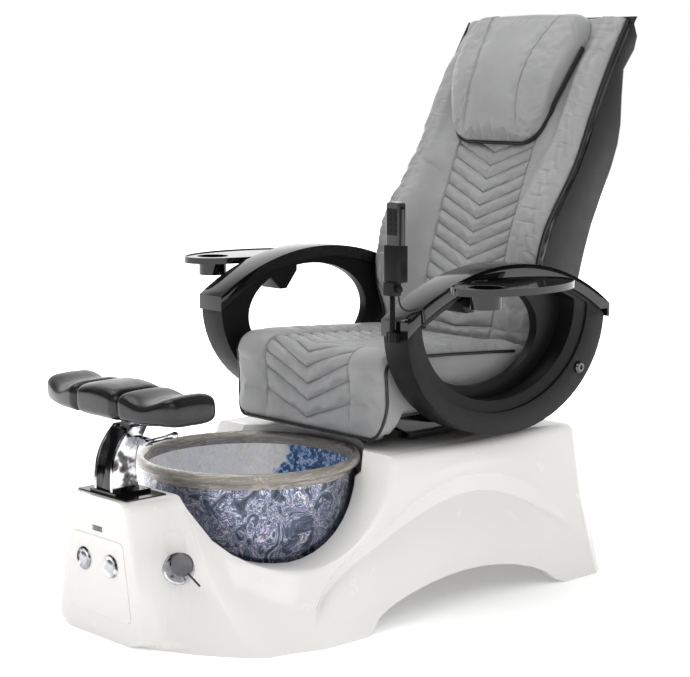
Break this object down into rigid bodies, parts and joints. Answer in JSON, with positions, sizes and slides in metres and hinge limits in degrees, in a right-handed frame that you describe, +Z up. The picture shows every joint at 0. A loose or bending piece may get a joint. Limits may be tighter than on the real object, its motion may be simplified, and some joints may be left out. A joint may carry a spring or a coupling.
{
  "type": "pedicure spa chair",
  "caption": "Pedicure spa chair: moulded base with a glass foot bowl and leg rest, reclining quilted massage seat, ring arms with fold-up trays and a handset.",
  "frame": {"origin": "centre of the bounding box, on the floor", "axes": "+Z up; the sitter faces -Y; +X is the sitter's left, the side with the handset"},
  "size_m": [1.162, 1.5763, 1.4039],
  "materials": {
    "gelcoat": "glossy off-white gel coat on a moulded base",
    "black_gloss": "piano-black gloss",
    "black_matte": "fine-grained black",
    "shell_black": "satin black",
    "chrome": "polished chrome",
    "dark_chrome": "smoked chrome",
    "steel": "brushed",
    "frame_paint": "black powder coat",
    "bowl_glass": "rippled glass with a blue and violet lustre",
    "seal_rubber": "black",
    "pipe_plastic": "grey-white pipe",
    "plywood": "bare plywood",
    "grey_leather": "light grey, semi-gloss",
    "black_leather": "black, semi-gloss"
  },
  "bodies": {
    "base": {"base_shell": "gelcoat", "front_panel": "gelcoat", "platform_frame": "frame_paint", "bowl": "bowl_glass", "bowl_gasket": "seal_rubber", "drain_strainer": "steel", "drain_pipe": "pipe_plastic", "tower_cap": "black_gloss", "post_foot": "black_gloss", "post_cheek_left": "chrome", "post_cheek_right": "chrome", "post_core": "black_gloss", "lever_clevis": "chrome", "button_bezels": "chrome", "knob_bush": "chrome", "valve_escutcheon": "chrome", "valve_body": "chrome", "seat_rails": "frame_paint"},
    "chair": {"seat_slides": "steel", "seat_chassis": "black_gloss", "seat_pan": "plywood", "seat_cushion": "grey_leather", "seat_piping": "black_leather", "side_plate_left": "frame_paint", "side_plate_right": "frame_paint", "arm_bolt_left": "dark_chrome", "arm_bolt_right": "dark_chrome"},
    "back": {"back_frame": "frame_paint", "back_shell": "shell_black", "back_cushion": "grey_leather", "back_piping_left": "black_leather", "back_piping_right": "black_leather", "head_pillow": "grey_leather", "pillow_piping": "black_leather"},
    "arm_left": {"arm_ring_left": "black_matte", "arm_cap_left": "black_gloss", "tray_bracket_left": "black_matte", "handset_stalk": "black_matte", "handset_holder": "black_matte", "handset_cord": "seal_rubber"},
    "arm_right": {"arm_ring_right": "black_matte", "arm_cap_right": "black_gloss", "tray_bracket_right": "black_matte"},
    "tray_left": {"tray_left": "black_gloss", "cup_left": "black_gloss"},
    "tray_right": {"tray_right": "black_gloss", "cup_right": "black_gloss"},
    "leg_rest": {"footrest_stem": "steel", "footrest_plate": "black_matte", "pad_left": "black_leather", "pad_centre": "black_leather", "pad_right": "black_leather"},
    "release_lever": {"footrest_lever": "chrome"},
    "push_button_left": {"button_left": "steel"},
    "push_button_right": {"button_right": "steel"},
    "side_knob": {"side_knob": "chrome"},
    "valve_handle": {"valve_handle": "dark_chrome"},
    "handset": {"handset": "black_gloss", "handset_keypad": "black_matte"}
  },
  "joints": [
    {"name": "chair_slide", "type": "slide", "parent": "base", "child": "chair", "axis": [0, 1, 0], "range_m": [-0.05, 0.05]},
    {"name": "back_recline", "type": "hinge", "parent": "chair", "child": "back", "pos_m": [0, 0.36985, 0.5], "axis": [-1, 0, 0], "range_deg": [0, 25]},
    {"name": "arm_left_lift", "type": "hinge", "parent": "chair", "child": "arm_left", "pos_m": [0, 0.40485, 0.522], "axis": [-1, 0, 0], "range_deg": [0, 60]},
    {"name": "arm_right_lift", "type": "hinge", "parent": "chair", "child": "arm_right", "pos_m": [0, 0.40485, 0.522], "axis": [-1, 0, 0], "range_deg": [0, 60]},
    {"name": "tray_left_fold", "type": "hinge", "parent": "arm_left", "child": "tray_left", "pos_m": [0.39, 0.01985, 0.76], "axis": [0, -1, 0], "range_deg": [0, 90]},
    {"name": "tray_right_fold", "type": "hinge", "parent": "arm_right", "child": "tray_right", "pos_m": [-0.39, 0.01985, 0.76], "axis": [0, 1, 0], "range_deg": [0, 90]},
    {"name": "leg_rest_height", "type": "slide", "parent": "base", "child": "leg_rest", "axis": [0, 0.342, 0.9397], "range_m": [0, 0.06]},
    {"name": "release_lever_press", "type": "hinge", "parent": "base", "child": "release_lever", "pos_m": [0.063, -0.68615, 0.436], "axis": [0, 1, 0], "range_deg": [0, 15]},
    {"name": "button_left_press", "type": "slide", "parent": "base", "child": "push_button_left", "axis": [0, 1, 0], "range_m": [0, 0.003], "stiffness_N_per_m": 400, "springref_m": -0.001},
    {"name": "button_right_press", "type": "slide", "parent": "base", "child": "push_button_right", "axis": [0, 1, 0], "range_m": [0, 0.003], "stiffness_N_per_m": 400, "springref_m": -0.001},
    {"name": "side_knob_turn", "type": "hinge", "parent": "base", "child": "side_knob", "pos_m": [-0.14726, -0.72215, 0.188], "axis": [-0.8634, -0.4063, 0.299], "range_deg": [-135, 135]},
    {"name": "valve_turn", "type": "hinge", "parent": "base", "child": "valve_handle", "pos_m": [0.17238, -0.68815, 0.172], "axis": [0.789, -0.4647, 0.4019], "range_deg": [-60, 60]},
    {"name": "handset_lift", "type": "slide", "parent": "arm_left", "child": "handset", "axis": [0, 0, 1], "range_m": [0, 0.09]}
  ]
}
